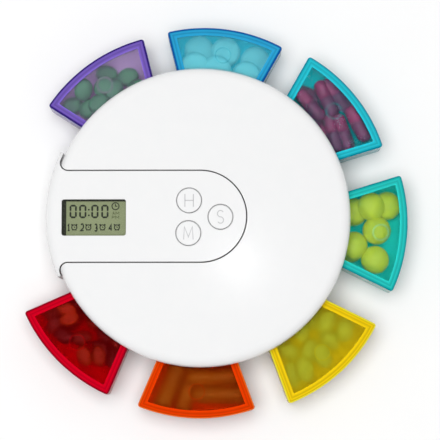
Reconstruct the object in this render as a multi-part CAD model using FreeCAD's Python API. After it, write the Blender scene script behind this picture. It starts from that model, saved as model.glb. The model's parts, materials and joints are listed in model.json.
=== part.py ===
# Round seven-day pill box with pull-out trays and a slide-out timer.
# Millimetres. The origin is on the disc's axis, on the plane that the feet stand on.
# The timer slides out towards -X, and +Z is up.
import FreeCAD
import Part
import math
import os
from FreeCAD import Vector

os.makedirs("parts", exist_ok=True)

# Cover
cover_radius = 62.0
crown_drop = 0.8
edge_radius = 4.0
cover_wall = 1.8
skirt_draft = 0.03
rib_thickness = 1.2

# Base
foot_height = 0.8
floor_thickness = 2.0
base_inset = 1.0
partition_thickness = 1.0
partition_inset = 3.0
hub_radius = 27.5
hub_wall = 2.0
guide_rib_width = 1.2
guide_rib_height = 0.8
bay_wall = 1.2

# Tray ring: the bays stand next to each other, counted anticlockwise from the first
tray_pitch = 43.4
first_tray_axis = -134.7
tray_names = ["red", "orange", "yellow", "teal", "cyan", "blue", "purple"]
tray_pulled_out = [15.6, 14.9, 18.1, 18.0, 14.4, 12.0, 11.7]

# One tray and its lid
tray_overhang = 6.0
tray_height = 13.2
tray_wall = 1.4
tray_floor = 1.8
tray_corner_radius = 1.2
tray_play = 0.3
tray_floor_play = 0.2
tray_roof_play = 0.4
lid_thickness = 2.0
lid_border = 3.2
lid_recess = 0.5
lid_edge_radius = 0.5
lid_plug_depth = 1.4
lid_plug_wall = 1.0
lid_play = 0.15
thumb_ring_radius = 3.2
thumb_ring_width = 0.5
thumb_ring_height = 0.3
thumb_ring_inset = 11.0
groove_play = 0.3

# Timer: the tongue in the cover and the chamber between the last and the first tray
tongue_half_width = 18.75
seam_gap = 0.5
seam_corner_radius = 3.0
front_overhang = 2.0
front_wall = 1.6
front_lip_upper = 3.0
front_lip_lower = 0.7
timer_wall = 1.6
tongue_floor = 1.2
tongue_play = 0.4
flange_width = 1.55
flange_inset = 10.0
flange_play = 0.3
slot_wall = 1.6
chamber_half_angle = 17.0
chamber_wall = 1.4
chamber_floor = 1.4
chamber_play = 0.4
chamber_ground_gap = 1.0
case_lip_height = 1.2
case_lip_wall = 0.9
case_lip_play = 0.1

# Display
window_length = 26.5
window_width = 15.0
window_inset = 5.2
window_centre_y = -0.5
window_corner_radius = 1.0
lens_thickness = 1.0
lens_margin = 2.4
lens_cover = 1.72
panel_thickness = 1.6
panel_margin = 2.1
reflector_thickness = 0.15
strip_width = 1.8
strip_height = 0.6
display_play = 0.1

# Buttons and keypad
button_radius = 5.0
button_gap = 0.35
button_flange = 1.0
button_flange_thickness = 0.8
button_rise = 0.1
button_edge_radius = 0.4
button_travel = 0.6
button_skin = 1.0
button_wall = 0.9
button_names = ["button_hour", "button_minute", "button_set"]
hour_button_place = (-4.7, 6.5)
minute_button_place = (-5.0, -7.0)
set_button_inset = 10.55
set_button_y = -0.3
keypad_thickness = 0.8
keypad_margin = 1.4
dome_base_radius = 3.6
dome_top_radius = 2.6
dome_play = 0.05

# Circuit board and what it carries
board_thickness = 0.8
board_margin = 0.35
board_lift = 0.2
board_front_gap = 1.2
blob_radius = 3.5
blob_height = 1.3
blob_gap = 4.1
crystal_radius = 1.0
crystal_length = 6.0
buzzer_radius = 6.0
buzzer_height = 8.5
buzzer_inset = 4.4
chip_length = 1.6
chip_width = 0.8
chip_height = 0.6

# Battery and its door
cell_radius = 10.0
cell_height = 3.2
cell_play = 0.2
door_radius = 11.5
door_gap = 0.3
door_lug_reach = 1.1
door_lug_angle = 24.0
door_notch_angle = 30.0
door_lug_thickness = 0.8
door_ring_radius = 9.0
door_ring_wall = 1.5
door_turn = 45.0
coin_slot_length = 13.0
coin_slot_width = 1.8
coin_slot_depth = 0.7
contact_thickness = 0.3
contact_width = 5.0

# Screws and feet
screw_head_radius = 1.9
screw_head_height = 1.1
screw_shank_radius = 1.0
screw_shank_length = 4.0
screw_play = 0.2
pilot_play = 0.05
timer_boss_radius = 3.0
upper_boss_radius = 2.2
front_screw_inset = 6.4
tongue_screw_x = -20.0
housing_head_radius = 2.3
housing_head_height = 1.6
housing_shank_radius = 1.1
housing_shank_length = 12.0
housing_boss_wall = 1.0
cover_boss_radius = 2.8
hub_screw_inset = 3.6
hub_screw_angles = [-100.0, -33.0, 33.0, 100.0]
outer_screw_inset = 4.5
foot_recess = 0.5
centre_foot_radius = 12.0
outer_foot_radius = 4.5
outer_foot_inset = 11.0
outer_foot_angles = [135.0, 75.0, 15.0, -45.0, -105.0]

# Radii and places that follow from the sizes above
base_radius = cover_radius - base_inset
partition_reach = base_radius - partition_inset
hub_screw_radius = hub_radius - hub_screw_inset
outer_screw_radius = base_radius - outer_screw_inset
outer_foot_circle = base_radius - outer_foot_inset
tray_outer_radius = cover_radius + tray_overhang
front_radius = cover_radius + front_overhang
front_inner_radius = front_radius - front_wall
flange_length = cover_radius - flange_inset
tray_inner_radius = hub_radius + tray_play + 0.5 * partition_thickness
chamber_inner = hub_radius + chamber_play + 0.5 * partition_thickness
window_low_x = window_inset - front_inner_radius
window_high_x = window_low_x + window_length
window_low_y = window_centre_y - 0.5 * window_width
window_high_y = window_centre_y + 0.5 * window_width
blob_x = window_high_x + panel_margin + blob_gap + blob_radius
set_button_place = (tongue_half_width - set_button_inset, set_button_y)
button_places = [hour_button_place, minute_button_place, set_button_place]
front_screw_x = front_screw_inset - front_inner_radius
buzzer_x = buzzer_inset + buzzer_radius - front_inner_radius
cell_x = -0.5 * (chamber_inner + chamber_wall + front_inner_radius)

# The crown is part of a sphere
crown_span = cover_radius - edge_radius
crown_sphere = (crown_span ** 2 + crown_drop ** 2) / (2 * crown_drop)
window_fall = crown_sphere - math.sqrt(crown_sphere ** 2 - window_low_x ** 2)

# Heights that follow, from the floor up to the top of the crown
floor_low = foot_height
floor_top = floor_low + floor_thickness
tray_low = floor_top + tray_floor_play
box_top = tray_low + tray_height
lid_top = box_top + lid_thickness
roof = lid_top + tray_roof_play
tongue_low = roof + tongue_play
parting = tongue_low + tongue_floor
slot_wall_low = parting + flange_play
board_low = parting + board_lift
board_top = board_low + board_thickness
boss_meeting = board_top + board_lift
panel_low = board_top + strip_height
panel_top = panel_low + panel_thickness
lens_low = panel_top + display_play
lens_top = lens_low + lens_thickness
top_height = lens_top + lens_cover + window_fall
head_seat = parting
above_all = 2 * top_height
chamber_low = chamber_ground_gap

# The tongue's width, the bays' angles and the screws' places
slot_half_width = tongue_half_width + seam_gap
cavity_half_width = tongue_half_width - timer_wall
timer_boss_y = cavity_half_width - case_lip_play - timer_boss_radius - 0.5 * case_lip_play
front_boss_y = timer_boss_y
tray_side_offset = 0.5 * partition_thickness + tray_play
half_pitch = 0.5 * tray_pitch
tray_axes = [first_tray_axis + tray_pitch * i for i in range(len(tray_names))]
partition_angles = [first_tray_axis + tray_pitch * (i - 0.5) for i in range(len(tray_names) + 1)]
housing_boss_radius = housing_head_radius + 0.5 * screw_play + housing_boss_wall
upper_post_offset = math.degrees(math.asin((housing_boss_radius - screw_play) / outer_screw_radius))
outer_screw_angle = partition_angles[-1] + upper_post_offset
housing_screw_places = [(hub_screw_radius, angle) for angle in hub_screw_angles]
housing_screw_places.append((outer_screw_radius, outer_screw_angle))
housing_head_top = roof + 0.3 * housing_shank_length - housing_shank_length


# Small helpers

def polar(radius, degrees, z=0.0):
    angle = math.radians(degrees)
    return Vector(radius * math.cos(angle), radius * math.sin(angle), z)


def disc(radius, low, high, x=0.0, y=0.0):
    return Part.makeCylinder(radius, high - low, Vector(x, y, low))


def ring(outer, inner, low, high, x=0.0, y=0.0):
    return disc(outer, low, high, x, y).cut(disc(inner, low, high, x, y))


def block(x0, x1, y0, y1, low, high):
    return Part.makeBox(x1 - x0, y1 - y0, high - low, Vector(x0, y0, low))


def line(start, end):
    return Part.makeLine(start, end)


def arc(start, through, end):
    return Part.Arc(start, through, end).toShape()


def prism(edges, low, high):
    face = Part.Face(Part.Wire(edges))
    face.translate(Vector(0, 0, low))
    return face.extrude(Vector(0, 0, high - low))


def turned(shape, degrees):
    copy = shape.copy()
    copy.rotate(Vector(0, 0, 0), Vector(0, 0, 1), degrees)
    return copy


def rounded_block(x0, x1, y0, y1, low, high, radius):
    body = block(x0, x1, y0, y1, low, high)
    return body.makeFillet(radius, vertical_edges(body))


def vertical_edges(shape):
    found = []
    for edge in shape.Edges:
        start, end = edge.Vertexes[0].Point, edge.Vertexes[-1].Point
        upright = math.hypot(start.x - end.x, start.y - end.y) < 1e-6
        if upright and abs(start.z - end.z) > 1e-3:
            found.append(edge)
    return found


def export(name, shape):
    solid = shape.removeSplitter()
    solid.exportStep("parts/" + name + ".step")


# The crowned top with its rounded edge, shared by the cover and the timer

def crown_z(radius):
    return top_height - crown_sphere + math.sqrt(crown_sphere ** 2 - radius ** 2)


def crowned_form(rim, inset, low):
    shoulder = rim - edge_radius
    bend_z = crown_z(shoulder) - edge_radius
    bend = edge_radius - inset
    wall = rim - inset
    half = 0.5 * shoulder
    centre_top = Vector(0, 0, top_height - inset)
    halfway = Vector(half, 0, crown_z(half) - inset)
    shoulder_point = Vector(shoulder, 0, bend_z + bend)
    diagonal = math.sqrt(0.5) * bend
    bend_point = Vector(shoulder + diagonal, 0, bend_z + diagonal)
    widest = Vector(wall, 0, bend_z)
    foot = Vector(wall - skirt_draft * (bend_z - low), 0, low)
    centre_low = Vector(0, 0, low)
    edges = [
        arc(centre_top, halfway, shoulder_point),
        arc(shoulder_point, bend_point, widest),
        line(widest, foot),
        line(foot, centre_low),
        line(centre_low, centre_top),
    ]
    face = Part.Face(Part.Wire(edges))
    return face.revolve(Vector(0, 0, 0), Vector(0, 0, 1), 360)


# Outlines of the slot in the cover and of the timer's top, which share one seam

seam_corner_y = slot_half_width + seam_corner_radius
seam_corner_x = -math.sqrt((cover_radius - seam_corner_radius) ** 2 - seam_corner_y ** 2)
seam_angle = math.degrees(math.atan2(seam_corner_y, -seam_corner_x))
lip_inner_radius = cover_radius + seam_gap
upper_limit = 180 - seam_angle - math.degrees(front_lip_upper / lip_inner_radius)
lower_limit = 180 + seam_angle + math.degrees(front_lip_lower / lip_inner_radius)


def seam_corner(radius, side):
    # The rounded corner of the cover beside the slot: three points from the slot to the rim.
    centre = Vector(seam_corner_x, side * seam_corner_y, 0)
    down = Vector(0, -side, 0)
    out = Vector(centre)
    out.normalize()
    middle = down + out
    middle.normalize()
    return centre + down * radius, centre + middle * radius, centre + out * radius


def slot_prism(low, high):
    w = slot_half_width
    upper = seam_corner(seam_corner_radius, 1)
    lower = seam_corner(seam_corner_radius, -1)
    beyond = 2
    edges = [
        arc(Vector(0, -w, 0), Vector(w, 0, 0), Vector(0, w, 0)),
        line(Vector(0, w, 0), upper[0]),
        arc(*upper),
        line(upper[2], upper[2] * beyond),
        line(upper[2] * beyond, lower[2] * beyond),
        line(lower[2] * beyond, lower[2]),
        arc(lower[2], lower[1], lower[0]),
        line(lower[0], Vector(0, -w, 0)),
    ]
    return prism(edges, low, high)


def timer_prism(low, high):
    w = tongue_half_width
    upper = seam_corner(seam_corner_radius + seam_gap, 1)
    lower = seam_corner(seam_corner_radius + seam_gap, -1)
    inner = lip_inner_radius
    outer = 2 * cover_radius
    upper_half = 0.5 * (180 - seam_angle + upper_limit)
    lower_half = 0.5 * (180 + seam_angle + lower_limit)
    edges = [
        arc(Vector(0, -w, 0), Vector(w, 0, 0), Vector(0, w, 0)),
        line(Vector(0, w, 0), upper[0]),
        arc(*upper),
        arc(upper[2], polar(inner, upper_half), polar(inner, upper_limit)),
        line(polar(inner, upper_limit), polar(outer, upper_limit)),
        arc(polar(outer, upper_limit), polar(outer, 180), polar(outer, lower_limit)),
        line(polar(outer, lower_limit), polar(inner, lower_limit)),
        arc(polar(inner, lower_limit), polar(inner, lower_half), lower[2]),
        arc(lower[2], lower[1], lower[0]),
        line(lower[0], Vector(0, -w, 0)),
    ]
    return prism(edges, low, high)


def tongue_prism(half_width, reach, low, high):
    # A straight tongue with a half-round tip at the disc's centre, ending at the given radius.
    w = half_width
    x = -math.sqrt(reach ** 2 - w ** 2)
    edges = [
        arc(Vector(0, -w, 0), Vector(w, 0, 0), Vector(0, w, 0)),
        line(Vector(0, w, 0), Vector(x, w, 0)),
        arc(Vector(x, w, 0), Vector(-reach, 0, 0), Vector(x, -w, 0)),
        line(Vector(x, -w, 0), Vector(0, -w, 0)),
    ]
    return prism(edges, low, high)


def chamber_prism(grow, reach, low, high):
    # The timer's chamber in plan: it narrows inwards, so that it can slide out.
    slope = math.tan(math.radians(chamber_half_angle))
    shift = grow / math.cos(math.radians(chamber_half_angle))
    inner = chamber_inner - grow
    outer = 2 * cover_radius
    near = inner * slope + shift
    far = outer * slope + shift
    corners = [
        Vector(-inner, -near, 0),
        Vector(-inner, near, 0),
        Vector(-outer, far, 0),
        Vector(-outer, -far, 0),
    ]
    edges = [line(corners[i], corners[(i + 1) % 4]) for i in range(4)]
    return prism(edges, low, high).common(disc(reach, low, high))


# Housing

def make_base():
    body = disc(base_radius, floor_low, floor_top)
    body = body.fuse(ring(hub_radius, hub_radius - hub_wall, floor_low, roof))
    wall_start = hub_radius - 0.5 * hub_wall
    half_wall = 0.5 * partition_thickness
    partition = block(wall_start, partition_reach, -half_wall, half_wall, floor_low, roof)
    for angle in partition_angles:
        body = body.fuse(turned(partition, angle))
    body = body.fuse(chamber_prism(chamber_play + bay_wall, base_radius, floor_low, roof))
    rib_start = hub_radius + hub_wall
    guide = block(rib_start, partition_reach, -0.5 * guide_rib_width, 0.5 * guide_rib_width,
                  floor_low, floor_top + guide_rib_height)
    for angle in tray_axes:
        body = body.fuse(turned(guide, angle))
    for radius, angle in housing_screw_places:
        spot = polar(radius, angle)
        body = body.fuse(disc(housing_boss_radius, floor_low, roof, spot.x, spot.y))
    for radius, angle in housing_screw_places:
        spot = polar(radius, angle)
        body = body.cut(disc(housing_head_radius + 0.5 * screw_play, 0, housing_head_top, spot.x, spot.y))
        body = body.cut(disc(housing_shank_radius + screw_play, 0, above_all, spot.x, spot.y))
    body = body.cut(disc(centre_foot_radius + screw_play, 0, floor_low + foot_recess))
    for angle in outer_foot_angles:
        spot = polar(outer_foot_circle, angle)
        body = body.cut(disc(outer_foot_radius + screw_play, 0, floor_low + foot_recess, spot.x, spot.y))
    return body.cut(chamber_prism(chamber_play, 2 * cover_radius, 0, above_all))


def make_cover():
    outside = crowned_form(cover_radius, 0, roof)
    inside = crowned_form(cover_radius, cover_wall, roof)
    body = outside.cut(inside)
    wall_band = tongue_prism(slot_half_width + slot_wall, 2 * cover_radius, slot_wall_low, above_all)
    body = body.fuse(wall_band.common(outside))
    half_rib = 0.5 * rib_thickness
    rib = block(hub_radius, cover_radius, -half_rib, half_rib, roof, above_all)
    for angle in partition_angles:
        body = body.fuse(turned(rib, angle).common(outside))
    for radius, angle in housing_screw_places:
        spot = polar(radius, angle)
        body = body.fuse(disc(cover_boss_radius, roof, above_all, spot.x, spot.y).common(outside))
    pilot_top = housing_head_top + housing_shank_length + screw_play
    for radius, angle in housing_screw_places:
        spot = polar(radius, angle)
        body = body.cut(disc(housing_shank_radius + pilot_play, 0, pilot_top, spot.x, spot.y))
    body = body.cut(slot_prism(0, above_all))
    flange_reach = tongue_half_width + flange_width + flange_play
    return body.cut(block(-2 * cover_radius, 0, -flange_reach, flange_reach, 0, slot_wall_low))


def make_housing_screws():
    screws = []
    for radius, angle in housing_screw_places:
        spot = polar(radius, angle)
        head_low = housing_head_top - housing_head_height
        head = disc(housing_head_radius, head_low, housing_head_top, spot.x, spot.y)
        shank_top = housing_head_top + housing_shank_length
        shank = disc(housing_shank_radius, housing_head_top, shank_top, spot.x, spot.y)
        screws.append(head.fuse(shank).removeSplitter())
    return Part.makeCompound(screws)


def make_feet():
    top = floor_low + foot_recess
    feet = [disc(centre_foot_radius, 0, top)]
    for angle in outer_foot_angles:
        spot = polar(outer_foot_circle, angle)
        feet.append(disc(outer_foot_radius, 0, top, spot.x, spot.y))
    return Part.makeCompound(feet)


# Trays, drawn along +X when fully in, then pulled out and turned to their bay

def wedge_prism(inset, low, high, corner):
    inner = tray_inner_radius + inset
    outer = tray_outer_radius - inset
    side = tray_side_offset + inset
    near = half_pitch - math.degrees(math.asin(side / inner))
    far = half_pitch - math.degrees(math.asin(side / outer))
    edges = [
        line(polar(inner, -near), polar(outer, -far)),
        arc(polar(outer, -far), polar(outer, 0), polar(outer, far)),
        line(polar(outer, far), polar(inner, near)),
        arc(polar(inner, near), polar(inner, 0), polar(inner, -near)),
    ]
    body = prism(edges, low, high)
    return body.makeFillet(corner, vertical_edges(body))


def make_tray():
    body = wedge_prism(0, tray_low, box_top, tray_corner_radius)
    room = wedge_prism(tray_wall, tray_low + tray_floor, above_all, 0.6 * tray_corner_radius)
    groove_half = 0.5 * guide_rib_width + groove_play
    groove_top = floor_top + guide_rib_height + groove_play
    groove = block(0, 2 * tray_outer_radius, -groove_half, groove_half, 0, groove_top)
    ridge_half = groove_half + 0.5 * tray_wall
    ridge = block(tray_inner_radius + 0.5 * tray_wall, tray_outer_radius - 0.5 * tray_wall,
                  -ridge_half, ridge_half, tray_low, groove_top + 0.5 * tray_wall)
    return body.cut(room).fuse(ridge).cut(groove)


def make_lid():
    plate = wedge_prism(0, box_top, lid_top, tray_corner_radius)
    top_edges = [edge for edge in plate.Edges if min(v.Point.z for v in edge.Vertexes) > lid_top - 1e-3]
    plate = plate.makeFillet(lid_edge_radius, top_edges)
    plate = plate.cut(wedge_prism(lid_border, lid_top - lid_recess, above_all, tray_corner_radius))
    rim_inset = tray_wall + lid_play
    rim = wedge_prism(rim_inset, box_top - lid_plug_depth, box_top, 0.6 * tray_corner_radius)
    room = wedge_prism(rim_inset + lid_plug_wall, 0, box_top, 0.5 * tray_corner_radius)
    mark_x = tray_outer_radius - thumb_ring_inset
    mark_low = lid_top - lid_recess
    mark = ring(thumb_ring_radius + 0.5 * thumb_ring_width, thumb_ring_radius - 0.5 * thumb_ring_width,
                mark_low - 0.5 * lid_recess, mark_low + thumb_ring_height, mark_x)
    return plate.fuse(rim.cut(room)).fuse(mark)


def place_tray(shape, number):
    copy = shape.copy()
    copy.translate(Vector(tray_pulled_out[number], 0, 0))
    return turned(copy, tray_axes[number])


# Timer

timer_screw_spots = [
    (front_screw_x, front_boss_y, chamber_low),
    (front_screw_x, -front_boss_y, chamber_low),
    (tongue_screw_x, timer_boss_y, tongue_low),
    (tongue_screw_x, -timer_boss_y, tongue_low),
]
underside = crown_z(tongue_half_width) - timer_wall
flange_top = underside - 2 * display_play
flange_low = flange_top - button_flange_thickness


def around_window(margin, low, high):
    return block(window_low_x - margin, window_high_x + margin,
                 window_low_y - margin, window_high_y + margin, low, high)


def make_upper_case():
    outside = crowned_form(front_radius, 0, parting)
    body = timer_prism(parting, above_all).common(outside)
    room = tongue_prism(cavity_half_width, front_inner_radius, 0, above_all)
    body = body.cut(room.common(crowned_form(front_radius, timer_wall, 0)))
    frame = around_window(lens_margin + lens_thickness, lens_top, above_all)
    body = body.fuse(frame.common(outside))
    body = body.cut(around_window(lens_margin + display_play, 0, lens_top).common(room))
    for x, y, low in timer_screw_spots:
        body = body.fuse(disc(upper_boss_radius, boss_meeting, above_all, x, y).common(outside))
    shank_top = head_seat + screw_shank_length + screw_play
    for x, y, low in timer_screw_spots:
        body = body.cut(disc(screw_shank_radius + pilot_play, 0, shank_top, x, y))
    opening = rounded_block(window_low_x, window_high_x, window_low_y, window_high_y,
                            0, above_all, window_corner_radius)
    body = body.cut(opening)
    for x, y in button_places:
        body = body.cut(disc(button_radius + button_gap, 0, above_all, x, y))
    return body


def make_lower_case():
    outside = crowned_form(front_radius, 0, chamber_low)
    body = chamber_prism(0, 2 * cover_radius, chamber_low, parting)
    span = lower_limit - upper_limit
    plate = Part.makeCylinder(2 * cover_radius, parting - chamber_low, Vector(0, 0, chamber_low),
                              Vector(0, 0, 1), span)
    plate = turned(plate, upper_limit).cut(disc(front_inner_radius, 0, above_all))
    body = body.fuse(plate)
    body = body.fuse(timer_prism(tongue_low, parting))
    flange_half = tongue_half_width + flange_width
    body = body.fuse(block(-flange_length, 0, -flange_half, flange_half, tongue_low, parting))
    lip_outer = cavity_half_width - case_lip_play
    lip = tongue_prism(lip_outer, front_inner_radius - case_lip_play, parting, parting + case_lip_height)
    lip_room = tongue_prism(lip_outer - case_lip_wall, front_inner_radius - case_lip_play - case_lip_wall,
                            0, above_all)
    body = body.fuse(lip.cut(lip_room))
    room = chamber_prism(-chamber_wall, front_inner_radius, chamber_low + chamber_floor, above_all)
    body = body.cut(room)
    for side in (-1, 1):
        rib_y = side * 0.5 * tongue_half_width
        body = body.fuse(block(-chamber_inner, 0, rib_y - 0.5 * case_lip_wall, rib_y + 0.5 * case_lip_wall,
                               tongue_low, board_low))
    for x, y, low in timer_screw_spots:
        body = body.fuse(disc(timer_boss_radius, low, boss_meeting, x, y))
    body = body.fuse(cell_cup())
    for x, y, low in timer_screw_spots:
        body = body.cut(disc(screw_head_radius + screw_play, 0, head_seat, x, y))
        body = body.cut(disc(screw_shank_radius + screw_play, 0, above_all, x, y))
    body = body.cut(door_opening())
    return body.common(outside)


def make_lens():
    return around_window(lens_margin, lens_low, lens_top)


def make_panel():
    return around_window(panel_margin, panel_low, panel_top)


def make_reflector():
    margin = panel_margin - strip_width - display_play
    return around_window(margin, panel_low - reflector_thickness, panel_low)


def make_strips():
    x0 = window_low_x - panel_margin
    x1 = window_high_x + panel_margin
    upper_y = window_high_y + panel_margin
    lower_y = window_low_y - panel_margin
    upper = block(x0, x1, upper_y - strip_width, upper_y, board_top, panel_low)
    lower = block(x0, x1, lower_y, lower_y + strip_width, board_top, panel_low)
    return Part.makeCompound([upper, lower])


def make_board():
    half_width = cavity_half_width - case_lip_play - case_lip_wall - board_margin
    body = tongue_prism(half_width, front_inner_radius - board_front_gap, board_low, board_top)
    for x, y, low in timer_screw_spots:
        body = body.cut(disc(timer_boss_radius + screw_play, 0, above_all, x, y))
    return body


def make_blob():
    sphere_radius = (blob_radius ** 2 + blob_height ** 2) / (2 * blob_height)
    ball = Part.makeSphere(sphere_radius, Vector(blob_x, 0, board_top + blob_height - sphere_radius))
    return ball.common(disc(blob_radius, board_top, board_top + blob_height, blob_x))


def make_crystal():
    x = blob_x - 0.5 * crystal_length
    y = blob_radius + 3 * crystal_radius
    return Part.makeCylinder(crystal_radius, crystal_length, Vector(x, y, board_top + crystal_radius),
                             Vector(1, 0, 0))


def make_board_parts():
    pieces = []
    pitch = chip_length + chip_width
    for row in range(2):
        y = -blob_radius - chip_length - 2 * chip_width * row
        for step in (-1, 0, 1):
            x = blob_x + pitch * step - 0.5 * chip_length
            pieces.append(block(x, x + chip_length, y - chip_width, y, board_top, board_top + chip_height))
    return Part.makeCompound(pieces)


def make_buzzer():
    can = disc(buzzer_radius, board_low - buzzer_height, board_low, buzzer_x)
    mouth = disc(0.2 * buzzer_radius, 0, board_low - 0.8 * buzzer_height, buzzer_x)
    return can.cut(mouth)


def make_keypad():
    pad = None
    for x, y in button_places:
        spot = disc(button_radius + keypad_margin, board_top, board_top + keypad_thickness, x, y)
        pad = spot if pad is None else pad.fuse(spot)
    corners = [Vector(x, y, 0) for x, y in button_places]
    edges = [line(corners[i], corners[(i + 1) % 3]) for i in range(3)]
    pad = pad.fuse(prism(edges, board_top, board_top + keypad_thickness))
    dome_low = board_top + keypad_thickness
    dome_height = flange_low - dome_play - dome_low
    for x, y in button_places:
        dome = Part.makeCone(dome_base_radius, dome_top_radius, dome_height, Vector(x, y, dome_low))
        hollow = disc(0.5 * dome_top_radius, dome_low, dome_low + button_travel, x, y)
        pad = pad.fuse(dome.cut(hollow))
    return pad


def make_button(x, y):
    top = crown_z(math.hypot(x, y)) + button_rise
    cap = disc(button_radius, flange_low, top, x, y)
    rim = [edge for edge in cap.Edges if min(v.Point.z for v in edge.Vertexes) > top - 1e-3]
    cap = cap.makeFillet(button_edge_radius, rim)
    cap = cap.fuse(disc(button_radius + button_flange, flange_low, flange_top, x, y))
    hollow = ring(button_radius - button_wall, dome_top_radius, 0, top - button_skin, x, y)
    return cap.cut(hollow)


# Battery, its contacts and its door

door_low = chamber_low
door_top = chamber_low + chamber_floor
lug_low = door_top + door_gap
lug_top = lug_low + door_lug_thickness
cup_low = lug_top + door_gap
cell_low = cup_low + cell_play
cell_top = cell_low + cell_height
contact_low = cell_top + 0.25 * cell_play
cup_outer = door_radius + door_lug_reach + door_gap + chamber_wall
lug_room = door_radius + door_lug_reach + door_gap


def cell_cup():
    lower_wall = ring(cup_outer, lug_room, door_top, cup_low, cell_x)
    upper_wall = ring(cup_outer, cell_radius + cell_play, cup_low, cell_top, cell_x)
    cup = lower_wall.fuse(upper_wall)
    slit_low = cell_radius + 0.25 * cell_play
    slit_high = slit_low + contact_thickness + 2 * cell_play
    half = 0.5 * contact_width + cell_play
    cup = cup.cut(block(cell_x - half, cell_x + half, 0, slit_high, cup_low, above_all))
    inside = chamber_prism(-0.5 * chamber_wall, front_radius, 0, above_all)
    return cup.common(inside)


def lug_sector(radius, low, high, spread, turn):
    wedge = Part.makeCylinder(radius, high - low, Vector(0, 0, low), Vector(0, 0, 1), spread)
    both = turned(wedge, turn - 0.5 * spread).fuse(turned(wedge, turn + 180 - 0.5 * spread))
    both.translate(Vector(cell_x, 0, 0))
    return both


def door_opening():
    hole = disc(door_radius + door_gap, 0, door_top + 0.5 * door_gap, cell_x)
    notches = lug_sector(lug_room, 0, door_top + 0.5 * door_gap, door_notch_angle, door_turn)
    return hole.fuse(notches)


def make_door():
    body = disc(door_radius, door_low, door_top, cell_x)
    hub = disc(door_radius - door_gap, door_top, lug_top, cell_x)
    body = body.fuse(hub)
    body = body.fuse(lug_sector(door_radius + door_lug_reach, lug_low, lug_top, door_lug_angle, 0))
    body = body.cut(disc(door_ring_radius - door_ring_wall, door_top, above_all, cell_x))
    support_top = cell_low - 0.5 * cell_play
    support = ring(door_ring_radius, door_ring_radius - door_ring_wall, door_top, support_top, cell_x)
    body = body.fuse(support)
    coin = block(cell_x - 0.5 * coin_slot_length, cell_x + 0.5 * coin_slot_length,
                 -0.5 * coin_slot_width, 0.5 * coin_slot_width, 0, door_low + coin_slot_depth)
    return body.cut(coin)


def make_cell():
    can = disc(cell_radius, cell_low, cell_top - 0.2 * cell_height, cell_x)
    cap = disc(0.9 * cell_radius, cell_top - 0.2 * cell_height, cell_top, cell_x)
    return can.fuse(cap)


def make_plus_contact():
    y = cell_radius + 0.5 * cell_play
    half = 0.5 * contact_width
    return block(cell_x - half, cell_x + half, y, y + contact_thickness, cell_low + cell_play, board_low)


def make_minus_contact():
    half = 0.5 * contact_width
    far = cell_x - 0.4 * cell_radius
    near = cell_x + cup_outer - chamber_wall
    plate = block(far, near, -half, half, contact_low, contact_low + contact_thickness)
    leg = block(near - contact_thickness, near, -half, half, contact_low, board_low)
    return plate.fuse(leg)


def make_timer_screws():
    screws = []
    for x, y, low in timer_screw_spots:
        head = disc(screw_head_radius, head_seat - screw_head_height, head_seat, x, y)
        shank = disc(screw_shank_radius, head_seat, head_seat + screw_shank_length, x, y)
        screws.append(head.fuse(shank).removeSplitter())
    return Part.makeCompound(screws)


# Write every piece

export("base", make_base())
export("cover", make_cover())
export("housing_screws", make_housing_screws())
export("rubber_feet", make_feet())

tray = make_tray()
lid = make_lid()
for number, name in enumerate(tray_names):
    export("tray_" + name, place_tray(tray, number))
    export("lid_" + name, place_tray(lid, number))

export("timer_upper_case", make_upper_case())
export("timer_lower_case", make_lower_case())
export("timer_screws", make_timer_screws())
export("window_lens", make_lens())
export("display_panel", make_panel())
export("display_reflector", make_reflector())
export("conductive_strips", make_strips())
export("circuit_board", make_board())
export("chip_blob", make_blob())
export("crystal_can", make_crystal())
export("board_parts", make_board_parts())
export("buzzer", make_buzzer())
export("keypad", make_keypad())
for name, (x, y) in zip(button_names, button_places):
    export(name, make_button(x, y))
export("battery_cell", make_cell())
export("battery_contact_plus", make_plus_contact())
export("battery_contact_minus", make_minus_contact())
export("battery_door", make_door())
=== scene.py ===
"""Looks of a round seven-day pill box with pull-out trays and a slide-out timer.

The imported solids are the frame. This script dresses them, fills the trays with tablets and capsules,
draws the display's segments and the buttons' letters, and sets floor, light and camera. Sizes in the
classes are in millimetres, and every finished mesh is in metres, in the frame of the solids.
"""
import json
import logging
import math
from dataclasses import dataclass, replace
from enum import Enum
from typing import Any

import bpy
import numpy as np
from mathutils import Matrix, Vector


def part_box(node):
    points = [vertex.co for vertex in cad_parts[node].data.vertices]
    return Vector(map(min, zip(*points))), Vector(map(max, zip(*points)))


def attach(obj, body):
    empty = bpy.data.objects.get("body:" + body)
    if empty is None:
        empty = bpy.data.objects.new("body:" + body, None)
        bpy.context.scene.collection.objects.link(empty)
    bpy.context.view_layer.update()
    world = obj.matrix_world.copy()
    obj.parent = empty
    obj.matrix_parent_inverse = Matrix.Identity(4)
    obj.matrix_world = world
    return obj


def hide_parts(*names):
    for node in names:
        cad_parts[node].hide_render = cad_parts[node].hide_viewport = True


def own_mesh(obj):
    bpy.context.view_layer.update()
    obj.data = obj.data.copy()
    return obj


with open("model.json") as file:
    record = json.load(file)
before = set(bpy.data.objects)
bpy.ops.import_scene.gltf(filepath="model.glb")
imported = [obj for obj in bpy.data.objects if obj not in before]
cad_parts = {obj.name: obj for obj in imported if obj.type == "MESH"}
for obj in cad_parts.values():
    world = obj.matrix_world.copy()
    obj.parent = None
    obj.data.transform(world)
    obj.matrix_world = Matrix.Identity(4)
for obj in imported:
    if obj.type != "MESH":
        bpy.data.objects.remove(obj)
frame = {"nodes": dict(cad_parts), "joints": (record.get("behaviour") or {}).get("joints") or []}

MM = 0.001
PHOTO_SIDE = 440
Colour = tuple[float, float, float]
Place = tuple[float, float]
log = logging.getLogger("pill_box")


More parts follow.
